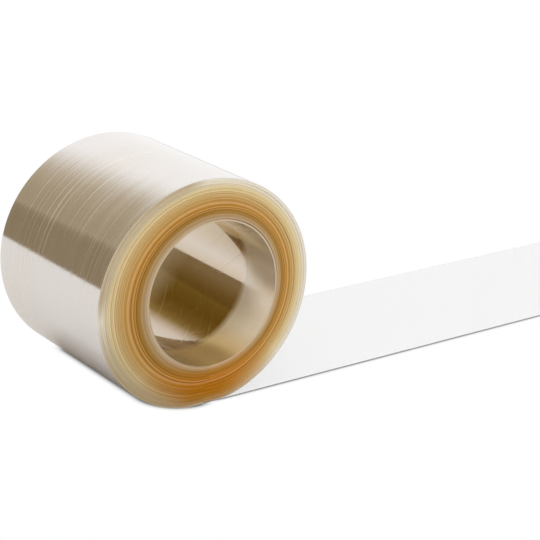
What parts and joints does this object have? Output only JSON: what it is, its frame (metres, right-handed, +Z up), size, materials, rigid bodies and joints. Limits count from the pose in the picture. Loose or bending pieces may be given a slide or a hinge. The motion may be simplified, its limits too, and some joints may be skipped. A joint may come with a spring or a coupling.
{
  "type": "cake collar film roll",
  "caption": "Roll of clear plastic strip wound tightly without a core, lying on its side, with a round open bore and a long flat tail.",
  "frame": {"origin": "middle of the open bore, on its axis, halfway along the roll", "axes": "+X along the flat tail, +Y along the roll's axis towards its back end, +Z up"},
  "size_m": [0.2749, 0.062, 0.0739],
  "materials": {
    "clear_film": "clear film with a very glossy face, cream to amber where its edges pile up"
  },
  "bodies": {
    "root": {"film_roll": "clear_film"}
  },
  "joints": []
}
